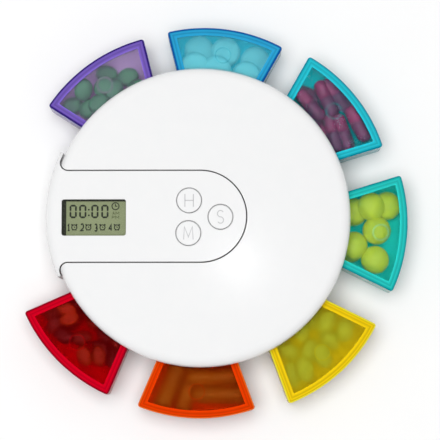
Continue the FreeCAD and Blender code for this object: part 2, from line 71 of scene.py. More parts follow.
def linear(red: int, green: int, blue: int) -> Colour:
    """Turns a display colour of 0 to 255 into the linear values that shaders use.

    Args:
        red: red, 0 to 255.
        green: green, 0 to 255.
        blue: blue, 0 to 255.

    Returns:
        The linear red, green and blue, 0 to 1.
    """
    parts = [value / 255 for value in (red, green, blue)]
    return tuple(p / 12.92 if p <= 0.04045 else ((p + 0.055) / 1.055) ** 2.4 for p in parts)


# Shells: closed surfaces as numpy arrays


@dataclass
class Shell:
    """A closed surface: its points in millimetres, its faces, and one tone per point for its material."""

    points: np.ndarray
    faces: list[list[int]]
    tones: np.ndarray

    def moved(self, x: float, y: float, z: float, turn: float = 0.0, tilt: float = 0.0) -> "Shell":
        """Turns the shell about its own X and then Z axis and moves it.

        Args:
            x: shift along X.
            y: shift along Y.
            z: shift along Z.
            turn: angle about Z in radians.
            tilt: angle about X in radians, applied first.

        Returns:
            The placed shell.
        """
        about = np.array(Matrix.Rotation(turn, 3, "Z") @ Matrix.Rotation(tilt, 3, "X"))
        return Shell(self.points @ about.T + (x, y, z), self.faces, self.tones)


def shell_from_rings(rings: np.ndarray, looped: bool = False, tones: np.ndarray | None = None) -> Shell:
    """Skins a grid of points that is closed along its second parameter.

    The first parameter runs from one end of the body to the other. The ends are closed by a fan round the
    middle of the end ring, or by joining the last ring to the first.

    Args:
        rings: points as (ring, point in ring, xyz).
        looped: joins the last ring to the first, as on a hoop.
        tones: one tone per ring, or none.

    Returns:
        The closed shell with its faces outwards.
    """
    count, sides = rings.shape[:2]
    index = np.arange(count * sides).reshape(count, sides)
    near = index if looped else index[:-1]
    far = np.roll(index, -1, axis=0) if looped else index[1:]
    quads = np.stack([near, np.roll(near, -1, axis=1), np.roll(far, -1, axis=1), far], axis=-1)
    faces = quads.reshape(-1, 4).tolist()
    points = rings.reshape(-1, 3)
    tone = np.repeat(np.zeros(count) if tones is None else tones, sides)
    if not looped:
        points = np.vstack([points, rings[0].mean(axis=0), rings[-1].mean(axis=0)])
        tone = np.concatenate([tone, tone[:1], tone[-1:]])
        first, last = index[0], index[-1]
        start_cap = np.stack([np.full(sides, count * sides), np.roll(first, -1), first], axis=-1)
        end_cap = np.stack([np.full(sides, count * sides + 1), last, np.roll(last, -1)], axis=-1)
        faces += start_cap.tolist() + end_cap.tolist()
    tips = [points[[face[k] for face in faces]] for k in (0, 1, 2)]
    spare = [points[face[3]] if len(face) == 4 else points[face[2]] for face in faces]
    volume = np.einsum("ij,ij->", tips[0], np.cross(tips[1], tips[2]))
    volume += np.einsum("ij,ij->", tips[0], np.cross(tips[2], np.array(spare)))
    if volume < 0:
        faces = [face[::-1] for face in faces]
    return Shell(points, faces, tone)


def joined(shells: list[Shell]) -> Shell:
    """Puts several shells into one, each keeping its own points.

    Args:
        shells: the shells to join.

    Returns:
        One shell with all of them.
    """
    starts = np.cumsum([0] + [len(shell.points) for shell in shells])
    faces = [[corner + int(start) for corner in face] for start, shell in zip(starts, shells) for face in shell.faces]
    return Shell(np.vstack([s.points for s in shells]), faces, np.concatenate([s.tones for s in shells]))


def signed_power(value: np.ndarray, power: float) -> np.ndarray:
    """Returns the power of the size of each value, with the value's own sign."""
    return np.sign(value) * np.abs(value) ** power


def tablet(length: float, width: float, height: float, square: float, steps: int = 28) -> Shell:
    """Makes a tablet as a superellipsoid.

    With u round the tablet and v from its lowest to its highest point, the distance from the axis is
    cos(v) to the power square, stretched to length and width, and the height is half the height times
    sin(v). A small square gives a drum with crowned faces, and 1 gives an ellipsoid.

    Args:
        length: size along X.
        width: size along Y.
        height: size along Z.
        square: power on the side profile.
        steps: points round the tablet.

    Returns:
        The tablet about the origin.
    """
    u = np.linspace(0, 2 * np.pi, steps, endpoint=False)[None, :]
    v = np.linspace(-np.pi / 2, np.pi / 2, steps // 2 + 2)[1:-1, None]
    reach = np.cos(v) ** square
    x = 0.5 * length * reach * np.cos(u)
    y = 0.5 * width * reach * np.sin(u)
    z = 0.5 * height * np.sin(v) * np.ones_like(u)
    return shell_from_rings(np.stack([x, y, z], axis=-1))


def capsule(length: float, radius: float, overlap: float = 0.04, steps: int = 20) -> Shell:
    """Makes a two-piece capsule that lies along X.

    Its profile is a half circle at each end and a straight line between them, turned round the X axis. From
    the middle on the radius is larger by the overlap, where the cap is pushed over the body.

    Args:
        length: size along X.
        radius: radius of the body.
        overlap: how much wider the cap is, as a share of the radius.
        steps: points round the capsule.

    Returns:
        The capsule about the origin, with tone 0 on its body and 1 on its cap.
    """
    bow = np.linspace(np.pi / 2, 0, 8)[:-1]
    start = -0.5 * length + radius * (1 - np.sin(bow))
    straight = np.linspace(radius - 0.5 * length, -0.04 * length, 4)
    along = np.concatenate([start, straight, [-0.035 * length], -straight[::-1], -start[::-1]])
    bulge = np.concatenate([np.cos(bow), np.ones(len(straight)), [1.0], np.ones(len(straight)), np.cos(bow)[::-1]])
    bulge = np.maximum(bulge, 0.02)
    cap = (np.arange(len(along)) > len(start) + len(straight) - 1).astype(float)
    reach = (radius * bulge * (1 + overlap * cap))[:, None]
    u = np.linspace(0, 2 * np.pi, steps, endpoint=False)[None, :]
    x = along[:, None] * np.ones_like(u)
    return shell_from_rings(np.stack([x, reach * np.cos(u), reach * np.sin(u)], axis=-1), tones=cap)


def plate(outline: np.ndarray, low: float, high: float) -> Shell:
    """Makes a flat plate whose outline can be seen whole from its middle.

    The first parameter goes up the edge in two steps, the second follows the outline.

    Args:
        outline: points round the plate, as (n, 2).
        low: height of its underside.
        high: height of its top.

    Returns:
        The closed plate.
    """
    rings = np.stack([np.column_stack([outline, np.full(len(outline), z)]) for z in (low, high)])
    return shell_from_rings(rings)


def stroke(path: list[Place], width: float, low: float, high: float, looped: bool = False) -> Shell:
    """Carries a flat bar's section along a path, with mitred corners.

    At each point the bar's sides lie half the width away along the mean of the normals of the runs that
    meet there, lengthened by one over the cosine of half the bend.

    Args:
        path: the points of the bar's middle line.
        width: width of the bar.
        low: height of its underside.
        high: height of its top.
        looped: joins the end to the start.

    Returns:
        The closed bar.
    """
    line = np.array(path, float)
    runs = np.roll(line, -1, axis=0) - line
    runs /= np.linalg.norm(runs, axis=1)[:, None] + 1e-12
    normals = np.stack([-runs[:, 1], runs[:, 0]], axis=-1)
    before = np.roll(normals, 1, axis=0)
    if not looped:
        before[0] = normals[0]
        normals[-1] = before[-1]
    mean = normals + before
    mean /= np.linalg.norm(mean, axis=1)[:, None]
    reach = 0.5 * width / np.clip(np.einsum("ij,ij->i", mean, normals), 0.4, 1.0)
    left, right = line + mean * reach[:, None], line - mean * reach[:, None]
    tall = np.ones(len(line))
    corners = [(left, low), (right, low), (right, high), (left, high)]
    rings = np.stack([np.column_stack([side, z * tall]) for side, z in corners], axis=1)
    return shell_from_rings(rings, looped=looped)


def arc(centre: Place, radius: float, start: float, end: float, steps: int = 24) -> list[Place]:
    """Gives points on an arc: the centre plus the radius times cosine and sine of the angle.

    Args:
        centre: centre of the arc.
        radius: radius of the arc.
        start: first angle in degrees.
        end: last angle in degrees.
        steps: number of points.

    Returns:
        The points.
    """
    angles = np.radians(np.linspace(start, end, steps))
    return list(zip(centre[0] + radius * np.cos(angles), centre[1] + radius * np.sin(angles)))


def hoop(centre: Place, radius: float, width: float, low: float, high: float, steps: int = 32) -> Shell:
    """Makes a flat hoop by carrying a bar's section round a full circle."""
    return stroke(arc(centre, radius, 0, 360 * (1 - 1 / steps), steps), width, low, high, looped=True)


# Shader nodes


class Signal:
    """A number that a shader works out, with its arithmetic written as Python operators."""

    def __init__(self, recipe: "Recipe", socket: bpy.types.NodeSocket) -> None:
        """Keeps the socket and the recipe that it belongs to."""
        self.recipe = recipe
        self.socket = socket

    def __add__(self, other: "Signal | float") -> "Signal":
        """Returns the sum of both."""
        return self.recipe.sum_up("ADD", self, other)

    def __sub__(self, other: "Signal | float") -> "Signal":
        """Returns this minus the other."""
        return self.recipe.sum_up("SUBTRACT", self, other)

    def __mul__(self, other: "Signal | float") -> "Signal":
        """Returns the product of both."""
        return self.recipe.sum_up("MULTIPLY", self, other)

    def __rsub__(self, other: float) -> "Signal":
        """Returns the other minus this."""
        return self.recipe.sum_up("SUBTRACT", other, self)

    def __pow__(self, power: float) -> "Signal":
        """Returns this to a power."""
        return self.recipe.sum_up("POWER", self, power)

    def __abs__(self) -> "Signal":
        """Returns this without its sign."""
        return self.recipe.sum_up("ABSOLUTE", self, 0.0)

    def least(self, other: "Signal | float") -> "Signal":
        """Returns the smaller of both."""
        return self.recipe.sum_up("MINIMUM", self, other)

    def __gt__(self, other: "Signal | float") -> "Signal":
        """Returns 1 where this is larger, and 0 elsewhere."""
        return self.recipe.sum_up("GREATER_THAN", self, other)

    __radd__ = __add__
    __rmul__ = __mul__


class Recipe:
    """The nodes of one material or of the surroundings, made one at a time."""

    def __init__(self, owner: bpy.types.Material | bpy.types.World) -> None:
        """Empties the owner's nodes and makes its output."""
        owner.use_nodes = True
        self.owner = owner
        self.tree = owner.node_tree
        self.tree.nodes.clear()
        world = isinstance(owner, bpy.types.World)
        self.output = self.node("ShaderNodeOutputWorld" if world else "ShaderNodeOutputMaterial", {}, {})

    def node(self, kind: str, settings: dict[str, Any], sockets: dict[str | int, Any]) -> bpy.types.Node:
        """Makes a node, then sets what it is, then its sockets.

        Args:
            kind: the node's type.
            settings: properties, and under "stops" a ramp's places and colours.
            sockets: values or links by socket name or number.

        Returns:
            The node.
        """
        made = self.tree.nodes.new(kind)
        for key, value in settings.items():
            if key == "stops":
                ramp = made.color_ramp
                while len(ramp.elements) < len(value):
                    ramp.elements.new(0.5)
                for element, (place, colour) in zip(ramp.elements, value):
                    element.position = place
                    element.color = (*colour, 1.0)
            else:
                setattr(made, key, value)
        for key, value in sockets.items():
            target = made.inputs[key]
            if isinstance(value, Signal):
                self.tree.links.new(value.socket, target)
            elif isinstance(value, bpy.types.NodeSocket):
                self.tree.links.new(value, target)
            elif target.type == "RGBA":
                target.default_value = (*value, 1.0)
            else:
                target.default_value = value
        return made

    def signal(self, node: bpy.types.Node, output: str | int = 0) -> Signal:
        """Wraps one output of a node."""
        return Signal(self, node.outputs[output])

    def sum_up(self, operation: str, first: Signal | float, second: Signal | float) -> Signal:
        """Adds one Math node and returns its value."""
        return self.signal(self.node("ShaderNodeMath", {"operation": operation}, {0: first, 1: second}))

    def coordinates(self) -> bpy.types.NodeSocket:
        """Returns the object coordinates, in metres."""
        return self.node("ShaderNodeTexCoord", {}, {}).outputs["Object"]

    def noise(self, size: float, detail: float = 2.0, where: bpy.types.NodeSocket | None = None) -> Signal:
        """Gives a noise whose features have the wanted size.

        Args:
            size: size of one feature in millimetres.
            detail: how many finer layers it has.
            where: coordinates, or none for the object's own.

        Returns:
            The noise, about 0 to 1.
        """
        where = where or self.coordinates()
        sockets = {"Vector": where, "Scale": 1 / (size * MM), "Detail": detail, "Roughness": 0.55}
        return self.signal(self.node("ShaderNodeTexNoise", {}, sockets), "Fac")

    def ramp(self, place: Signal | bpy.types.NodeSocket, stops: tuple[Place, ...]) -> bpy.types.NodeSocket:
        """Reads a grey level off a ramp.

        Args:
            place: where on the ramp, 0 to 1.
            stops: places and their levels.

        Returns:
            The level's socket.
        """
        levels = [(where, (level,) * 3) for where, level in stops]
        return self.node("ShaderNodeValToRGB", {"stops": levels}, {"Fac": place}).outputs["Color"]

    def scaled(self, colour: Any, level: bpy.types.NodeSocket) -> bpy.types.NodeSocket:
        """Multiplies a colour by a level."""
        return self.node("ShaderNodeVectorMath", {"operation": "MULTIPLY"}, {0: colour, 1: level}).outputs[0]

    def tinted(self, share: Signal | float, first: Any, second: Any) -> bpy.types.NodeSocket:
        """Mixes two colours.

        Args:
            share: 0 for the first, 1 for the second.
            first: a colour or a colour socket.
            second: a colour or a colour socket.

        Returns:
            The mixed colour's socket.
        """
        made = self.node("ShaderNodeMix", {"data_type": "RGBA"}, {0: share, 6: first, 7: second})
        return made.outputs[2]

    def relief(self, height: Signal, depth: float, edge: float = 0.0) -> bpy.types.NodeSocket:
        """Turns a height into a normal, over edges rounded for the light.

        Args:
            height: the relief, 0 to 1.
            depth: its depth in millimetres.
            edge: radius in millimetres that edges look rounded by, or 0.

        Returns:
            The normal's socket.
        """
        sockets = {"Strength": 1.0, "Distance": depth * MM, "Height": height}
        if edge:
            sockets["Normal"] = self.node("ShaderNodeBevel", {"samples": 4}, {"Radius": edge * MM}).outputs[0]
        return self.node("ShaderNodeBump", {}, sockets).outputs[0]

    def end(self, surface: bpy.types.Node, volume: bpy.types.Node | None = None) -> Any:
        """Links the last shaders to the output.

        Args:
            surface: the surface's shader, or the surroundings' background.
            volume: a volume shader, or none.

        Returns:
            The material or the surroundings.
        """
        self.tree.links.new(surface.outputs[0], self.output.inputs["Surface"])
        if volume:
            self.tree.links.new(volume.outputs[0], self.output.inputs["Volume"])
        return self.owner


class Pattern(Enum):
    """How a finish's detail runs over a part."""

    MOULDED = "fine grain, the same all ways"
    BRUSHED = "fine lines along X"
    TURNED = "fine lines round a middle"
    STRIPED = "bands across Y"
    TRACED = "thin lines of copper under lacquer"
    SPECKLED = "small spots of the second colour"


@dataclass(frozen=True)
class Finish:
    """A solid material: two close colours, how they mix, its gloss and its grain."""

    name: str
    colour: Colour
    shade: Colour
    roughness: float
    spread: float = 0.04
    metallic: float = 0.0
    grain: float = 0.5
    depth: float = 0.004
    edge: float = 0.0
    coat: float = 0.0
    pattern: Pattern = Pattern.MOULDED
    middle: tuple[float, float, float] = (0.0, 0.0, 0.0)
    toned: bool = False
    alpha: float = 1.0

    def material(self) -> bpy.types.Material:
        """Builds the finish's material.

        Returns:
            The material with its colour, roughness and relief nodes.
        """
        recipe = Recipe(bpy.data.materials.new(self.name))
        where = recipe.coordinates()
        if self.pattern in (Pattern.BRUSHED, Pattern.TRACED):
            stretch = (0.06, 1.0, 1.0) if self.pattern is Pattern.BRUSHED else (1.0, 1.0, 1.0)
            where = recipe.node("ShaderNodeMapping", {}, {"Vector": where, "Scale": stretch}).outputs[0]
        if self.pattern is Pattern.TURNED:
            shift = tuple(-value * MM for value in self.middle)
            where = recipe.node("ShaderNodeMapping", {}, {"Vector": where, "Location": shift}).outputs[0]
        fine = recipe.noise(self.grain, 3.0, where)
        share = recipe.noise(8 * self.grain, 2.0, where)
        relief = fine
        if self.pattern is Pattern.TURNED:
            sockets = {"Vector": where, "Scale": 1 / (2 * self.grain * MM), "Distortion": 0.4}
            rings = recipe.node("ShaderNodeTexWave", {"wave_type": "RINGS", "rings_direction": "Z"}, sockets)
            relief = 0.7 * recipe.signal(rings, "Fac") + 0.3 * fine
            share = relief
        if self.pattern is Pattern.STRIPED:
            sockets = {"Vector": where, "Scale": 1 / (self.grain * MM)}
            bands = recipe.node("ShaderNodeTexWave", {"bands_direction": "Y"}, sockets)
            share = recipe.signal(bands, "Fac") > 0.5
        if self.pattern is Pattern.TRACED:
            sockets = {"Vector": where, "Scale": 1 / (4 * self.grain * MM)}
            cells = recipe.node("ShaderNodeTexVoronoi", {"distance": "CHEBYCHEV"}, sockets)
            share = recipe.signal(cells, "Distance") > 0.42
        if self.pattern is Pattern.SPECKLED:
            share = recipe.noise(self.grain, 1.0, where) > 0.56
        if self.toned:
            tone = recipe.signal(recipe.node("ShaderNodeAttribute", {"attribute_name": "tone"}, {}), "Fac")
            share = 0.85 * tone + 0.15 * share
        surface = {
            "Base Color": recipe.tinted(share, self.colour, self.shade),
            "Roughness": self.roughness + self.spread * (fine - 0.5),
            "Metallic": self.metallic,
            "Coat Weight": self.coat,
            "Coat Roughness": 0.06,
            "Alpha": self.alpha,
            "Normal": recipe.relief(relief, self.depth, self.edge),
        }
        return recipe.end(recipe.node("ShaderNodeBsdfPrincipled", {}, surface))


@dataclass(frozen=True)
class TintedPlastic:
    """Frosted see-through plastic: what 2 mm of it let through, and the colour that its borders scatter.

    The border follows a tray's outline in plan: two arcs and two straight sides. The light and shade on its moulded
    steps are painted in as bands, given as distances from the outline and the share of the body colour there.
    """

    name: str
    through: Colour
    body: Colour
    # line: edge line colour along the outline, darker than the body on most trays and a painted highlight on yellow and
    # orange.
    line: Colour
    milk: Colour
    frost: float = 0.30
    mirror: float = 0.22
    scatter: float = 0.78
    haze: float = 0.05
    border: float = 3.2
    line_width: float = 0.55
    ring: tuple[float, float, float, float] = (57.0, 3.2, 0.3, 0.10)
    turn: float = 0.0
    pulled: float = 0.0
    density: float = 1200.0
    arcs: Place = (28.5, 68.0)
    side: float = 0.9
    half_angle: float = 21.7
    # rim: share of the body colour along the border's inner edge, a painted highlight.
    rim: float = 1.12
    # bands: painted light and shade of the moulded steps, as shares of the body colour.
    bands: tuple[Place, ...] = (
        (0.0, 0.84), (0.9, 0.80), (1.1, 1.06), (1.5, 1.06), (1.7, 0.76), (2.15, 0.80), (2.35, 1.04), (2.7, 1.0),
    )

    def plan(self, recipe: Recipe) -> tuple[Signal, Signal]:
        """Works out two places in the tray's own frame, in millimetres.

        The distance from the tray's outline in plan is the least of the outer radius minus the reach, the reach
        minus the inner radius, and the distance to the nearer of the two straight sides. The other place is how
        far a point is from the middle of the thumb ring's line.

        Args:
            recipe: makes the nodes.

        Returns:
            The distance from the outline, and the distance from the ring's line.
        """
        turned = recipe.node("ShaderNodeMapping", {}, {
            "Vector": recipe.coordinates(), "Rotation": (0.0, 0.0, -self.turn), "Location": (-self.pulled * MM, 0.0, 0.0),
        })
        axes = recipe.node("ShaderNodeSeparateXYZ", {}, {"Vector": turned.outputs[0]})
        x, y = recipe.signal(axes, "X") * (1 / MM), recipe.signal(axes, "Y") * (1 / MM)
        reach = (x * x + y * y) ** 0.5
        half = math.radians(self.half_angle)
        across = math.sin(half) * x - math.cos(half) * abs(y) - self.side
        middle, radius = self.ring[:2]
        off_ring = abs(((x - middle) * (x - middle) + y * y) ** 0.5 - radius)
        return (self.arcs[1] - reach).least(reach - self.arcs[0]).least(across), off_ring

    def material(self) -> bpy.types.Material:
        """Builds the plastic's material: rough glass, absorption inside, and scattered light in the border, with
        painted light and shade.

        The absorption per metre is minus the logarithm of what 2 mm let through, over 2 mm.

        Returns:
            The material.
        """
        recipe = Recipe(bpy.data.materials.new(self.name))
        fine = recipe.noise(0.6, 3.0)
        cloud = recipe.noise(9.0, 2.0)
        taken = [-math.log(part) / (2 * MM) for part in self.through]
        inside = tuple(1 - min(value / self.density, 1.0) for value in taken)
        volume = recipe.node("ShaderNodeVolumeAbsorption", {}, {"Color": inside, "Density": self.density})
        rough = self.frost + 0.06 * (cloud - 0.5) + 0.04 * (fine - 0.5)
        normal = recipe.relief(fine, 0.006)
        clear = recipe.node("ShaderNodeBsdfPrincipled", {}, {
            "Base Color": recipe.tinted(0.4 * cloud, (0.97, 0.97, 0.97), (0.93, 0.93, 0.93)),
            "Roughness": rough, "IOR": 1.45, "Transmission Weight": 1.0, "Normal": normal,
            "Specular Tint": tuple(self.mirror * part for part in self.body),
        })
        distance, off_ring = self.plan(recipe)
        span = 4.0
        # Painted light and shade: the bands and the rim brighten or darken the body colour, and the edge line is
        # painted at the outline.
        bands = (*self.bands, (self.border - 0.35, self.rim))
        level = recipe.ramp(distance * (1 / span), tuple((place / span, tone) for place, tone in bands))
        pale = tuple(0.9 * part for part in self.body)
        painted_light_bands = recipe.scaled(recipe.tinted(cloud, self.body, pale), level)
        painted_bands_and_edge = recipe.tinted(self.line_width - distance > 0.0, painted_light_bands, self.line)
        bordered = self.border - distance > 0.0
        milky = recipe.node("ShaderNodeBsdfPrincipled", {}, {
            "Base Color": recipe.tinted(bordered, self.milk, painted_bands_and_edge), "Roughness": rough,
            "Specular Tint": self.body, "Normal": normal,
        })
        ringed = (self.ring[2] - off_ring > 0.0) * self.ring[3]
        share = bordered * (self.scatter - self.haze) + ringed + self.haze
        both = recipe.node("ShaderNodeMixShader", {}, {0: share, 1: clear.outputs[0], 2: milky.outputs[0]})
        return recipe.end(both, volume)


# Finishes of the solids, by node name
WHITE_GLOSS = Finish("white_gloss", (0.815, 0.815, 0.815), (0.79, 0.795, 0.80), 0.13, 0.03, grain=0.8, depth=0.0015,
                     edge=0.35)
WHITE_MATT = Finish("white_abs", (0.74, 0.74, 0.735), (0.70, 0.70, 0.70), 0.38, 0.1, grain=0.35, depth=0.006, edge=0.25)
SOLID_FINISHES = {
    "cover": WHITE_GLOSS,
    "timer_upper_case": WHITE_GLOSS,
    "button_hour": WHITE_GLOSS,
    "button_minute": WHITE_GLOSS,
    "button_set": WHITE_GLOSS,
    "base": WHITE_MATT,
    "timer_lower_case": WHITE_MATT,
    "battery_door": WHITE_MATT,
    "housing_screws": Finish("zinc_screw", (0.62, 0.62, 0.60), (0.48, 0.48, 0.47), 0.32, 0.15, 1.0, 0.3, 0.01, 0.08),
    "rubber_feet": Finish("grey_rubber", (0.10, 0.10, 0.105), (0.14, 0.14, 0.14), 0.8, 0.15, grain=0.3, depth=0.03,
                          edge=0.15),
    "window_lens": Finish("clear_lens", (0.30, 0.32, 0.31), (0.26, 0.28, 0.27), 0.05, 0.02, grain=1.5, depth=0.001,
                          alpha=0.03),
    "display_panel": Finish("display_glass", linear(141, 151, 112), linear(134, 143, 105), 0.3, 0.1, grain=1.2,
                            depth=0.001),
    "display_reflector": Finish("reflector_foil", (0.70, 0.70, 0.66), (0.60, 0.60, 0.56), 0.35, 0.2, 1.0, 0.4, 0.006,
                                pattern=Pattern.BRUSHED),
    "conductive_strips": Finish("strip_rubber", (0.55, 0.25, 0.28), (0.03, 0.03, 0.03), 0.6, grain=0.05,
                                pattern=Pattern.STRIPED),
    "circuit_board": Finish("board_green", (0.012, 0.115, 0.04), (0.03, 0.22, 0.08), 0.25, 0.1, grain=0.35, depth=0.02,
                            coat=0.4, pattern=Pattern.TRACED),
    "chip_blob": Finish("black_resin", (0.012, 0.012, 0.013), (0.03, 0.03, 0.03), 0.12, 0.08, grain=1.0, depth=0.03),
    "crystal_can": Finish("plated_can", (0.72, 0.71, 0.68), (0.60, 0.59, 0.56), 0.22, 0.1, 1.0, 0.2, 0.004, 0.1,
                          pattern=Pattern.BRUSHED),
    "board_parts": Finish("ceramic_parts", (0.46, 0.32, 0.18), (0.70, 0.68, 0.62), 0.45, grain=0.5,
                          pattern=Pattern.SPECKLED),
    "buzzer": Finish("black_plastic", (0.018, 0.018, 0.02), (0.035, 0.035, 0.035), 0.4, 0.15, grain=0.3, depth=0.02,
                     edge=0.2),
    "battery_cell": Finish("cell_steel", (0.70, 0.70, 0.71), (0.56, 0.56, 0.57), 0.25, 0.1, 1.0, 0.25, 0.004, 0.15,
                           pattern=Pattern.TURNED, middle=(-46.1, 0.0, 0.0)),
    "battery_contact_plus": Finish("spring_steel", (0.66, 0.62, 0.52), (0.50, 0.47, 0.40), 0.3, 0.1, 1.0, 0.2, 0.005,
                                   pattern=Pattern.BRUSHED),
}
SOLID_FINISHES["timer_screws"] = SOLID_FINISHES["housing_screws"]
SOLID_FINISHES["battery_contact_minus"] = SOLID_FINISHES["battery_contact_plus"]


class Workshop:
    """Turns shells into objects and keeps one material per finish."""

    def __init__(self) -> None:
        """Starts with no material made."""
        self.materials: dict[str, bpy.types.Material] = {}

    def material(self, finish: Any) -> bpy.types.Material:
        """Returns the finish's material, made once."""
        if finish.name not in self.materials:
            self.materials[finish.name] = finish.material()
        return self.materials[finish.name]

    def dress(self, node: str, finish: Any) -> None:
        """Gives a solid of the frame its finish."""
        target = frame["nodes"][node]
        target.data.materials.clear()
        target.data.materials.append(self.material(finish))
        log.info("solid %s: %s", node, finish.name)

    def piece(self, name: str, shell: Shell, finish: Any, body: str, sharp: float = 40.0) -> bpy.types.Object:
        """Makes a shell an object that rides on a body.

        Args:
            name: the piece's name.
            shell: its surface in millimetres.
            finish: what it is made of.
            body: the body that it moves with.
            sharp: angle in degrees from which an edge stays sharp.

        Returns:
            The object.
        """
        mesh = bpy.data.meshes.new(name)
        mesh.from_pydata((shell.points * MM).tolist(), [], shell.faces)
        mesh.polygons.foreach_set("use_smooth", np.ones(len(mesh.polygons), bool))
        mesh.set_sharp_from_angle(angle=math.radians(sharp))
        mesh.attributes.new("tone", "FLOAT", "POINT").data.foreach_set("value", shell.tones.astype(np.float32))
        mesh.materials.append(self.material(finish))
        made = bpy.data.objects.new(name, mesh)
        bpy.context.scene.collection.objects.link(made)
        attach(made, body)
        log.info("piece %s on %s: %d faces", name, body, len(shell.faces))
        return made


@dataclass
class Viewpoint:
    """The camera, and the way from a spot in the photograph to a place on the object."""

    target: tuple[float, float, float] = (8.0, -1.6, 27.0)
    elevation: float = 85.0
    distance: float = 900.0
    view_width: float = 180.9
    sensor: float = 36.0

    def axes(self) -> tuple[np.ndarray, np.ndarray, np.ndarray, np.ndarray]:
        """Works out the camera's place and its right, up and forward directions.

        Returns:
            Place, right, up and forward.
        """
        angle = math.radians(self.elevation)
        forward = np.array([0.0, math.cos(angle), -math.sin(angle)])
        up = np.array([0.0, math.sin(angle), math.cos(angle)])
        return np.array(self.target) - self.distance * forward, np.array([1.0, 0.0, 0.0]), up, forward

    def spot(self, column: float, row: float, height: float) -> Place:
        """Finds the place at a height that the photograph shows at a pixel.

        The ray leaves the camera through the pixel, and is followed down to the height.

        Args:
            column: pixels from the photograph's left.
            row: pixels from its top.
            height: height above the floor in millimetres.

        Returns:
            X and Y of the place.
        """
        place, right, up, forward = self.axes()
        step = self.view_width / self.distance / PHOTO_SIDE
        ray = forward + right * (column - PHOTO_SIDE / 2) * step + up * (PHOTO_SIDE / 2 - row) * step
        hit = place + ray * (height - place[2]) / ray[2]
        return float(hit[0]), float(hit[1])

    def build(self) -> None:
        """Makes the camera and gives it to the scene."""
        place, right, up, forward = self.axes()
        camera = bpy.data.cameras.new("view")
        camera.sensor_width = self.sensor
        camera.lens = self.sensor * self.distance / self.view_width
        camera.clip_start = 0.01
        camera.clip_end = 20.0
        camera.dof.use_dof = False
        made = bpy.data.objects.new("view", camera)
        turn = Matrix((right, up, -forward)).transposed()
        made.matrix_world = Matrix.Translation(Vector(place) * MM) @ turn.to_4x4()
        bpy.context.scene.collection.objects.link(made)
        bpy.context.scene.camera = made


@dataclass
class Studio:
    """Pale floor, even surroundings, a large soft lamp overhead and a small one for the highlight.

    The surroundings' brightness follows the height of a direction's unit vector: white at the horizon, dim
    above it, and dark at the zenith, which flat gloss would mirror. The soft lamp stays out of reflections,
    as behind a polarising filter. A lamp is a name, a place, a diameter, a power and whether gloss shows it.
    """

    floor_radius: float = 2600.0
    floor_colour: Colour = (0.92, 0.92, 0.92)
    sky: tuple[Place, ...] = ((0.0, 1.0), (0.08, 1.0), (0.16, 0.36), (0.90, 0.36), (0.96, 0.10), (1.0, 0.10))
    lamps: tuple[tuple[str, tuple[float, float, float], float, float, bool], ...] = (
        ("soft", (-120.0, -20.0, 1500.0), 1200.0, 20.8, False),
        ("glint", (52.0, 56.0, 1530.0), 60.0, 0.10, True),
    )

    def build(self, shop: Workshop) -> None:
        """Makes floor, surroundings and lamps.

        The floor is a disc: u goes round it and v from its underside to its top.

        Args:
            shop: makes the floor's material.
        """
        scene = bpy.context.scene
        scene.view_settings.view_transform = "Standard"
        recipe = Recipe(bpy.data.worlds.new("surroundings"))
        way = recipe.node("ShaderNodeTexCoord", {}, {}).outputs["Generated"]
        height = recipe.node("ShaderNodeSeparateXYZ", {}, {"Vector": way}).outputs["Z"]
        glow = {"Color": recipe.ramp(height, self.sky), "Strength": 1.0}
        scene.world = recipe.end(recipe.node("ShaderNodeBackground", {}, glow))
        rim = np.array(arc((0.0, 0.0), self.floor_radius, 0, 360 * (1 - 1 / 96), 96))
        finish = Finish("pale_floor", self.floor_colour, tuple(0.985 * c for c in self.floor_colour), 0.6, 0.1,
                        grain=3.0, depth=0.004)
        mesh = bpy.data.meshes.new("floor")
        shell = plate(rim, -6.0, 0.0)
        mesh.from_pydata((shell.points * MM).tolist(), [], shell.faces)
        mesh.materials.append(shop.material(finish))
        made = bpy.data.objects.new("floor", mesh)
        scene.collection.objects.link(made)
        for name, place, side, power, mirrored in self.lamps:
            lamp = bpy.data.lights.new(name, "AREA")
            lamp.shape = "DISK"
            lamp.size = side * MM
            lamp.energy = power
            holder = bpy.data.objects.new(name, lamp)
            holder.visible_glossy = mirrored
            aim = Vector((0.0, 0.0, 20.0)) - Vector(place)
            turn = aim.to_track_quat("-Z", "Y").to_matrix().to_4x4()
            holder.matrix_world = Matrix.Translation(Vector(place) * MM) @ turn
            scene.collection.objects.link(holder)
        log.info("studio: floor, surroundings and %d lamps", len(self.lamps))


